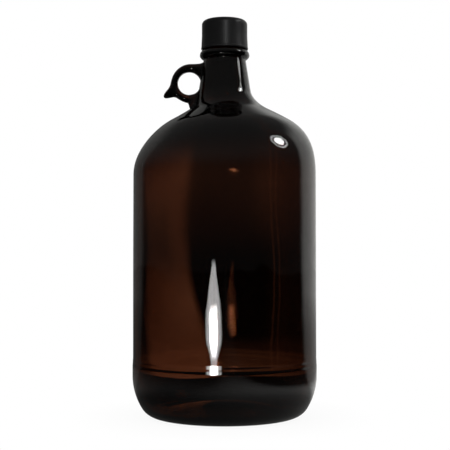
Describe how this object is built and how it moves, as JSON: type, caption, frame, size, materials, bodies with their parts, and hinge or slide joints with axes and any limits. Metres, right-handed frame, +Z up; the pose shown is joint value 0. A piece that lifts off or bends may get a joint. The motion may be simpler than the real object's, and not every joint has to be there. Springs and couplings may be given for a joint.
{
  "type": "growler",
  "caption": "Round amber glass jug for home brew or cider, with a finger ring at the neck and a black screw cap with a foam seal.",
  "frame": {"origin": "centre of the foot, on the surface that the jug stands on", "axes": "+Z up along the neck's axis, the finger ring points along -X"},
  "size_m": [0.16, 0.16, 0.346],
  "materials": {
    "amber_glass": "glossy dark amber glass",
    "black_plastic": "satin moulded black plastic",
    "liner_foam": "matte white foam with a smooth skin"
  },
  "bodies": {
    "jug": {"glass_jug": "amber_glass"},
    "liner": {"cap_liner": "liner_foam"},
    "cap": {"screw_cap": "black_plastic"}
  },
  "joints": [
    {"name": "cap_lift", "type": "slide", "parent": "jug", "child": "liner", "axis": [0, 0, 1], "range_m": [0, 0.02964]},
    {"name": "cap_turn", "type": "hinge", "parent": "liner", "child": "cap", "pos_m": [0, 0, 0.34151], "axis": [0, 0, 1], "range_deg": [0, 2520]}
  ],
  "couplings": [
    {"joint": "cap_lift", "follows": "cap_turn", "m_per_rad": 0.0006737}
  ]
}
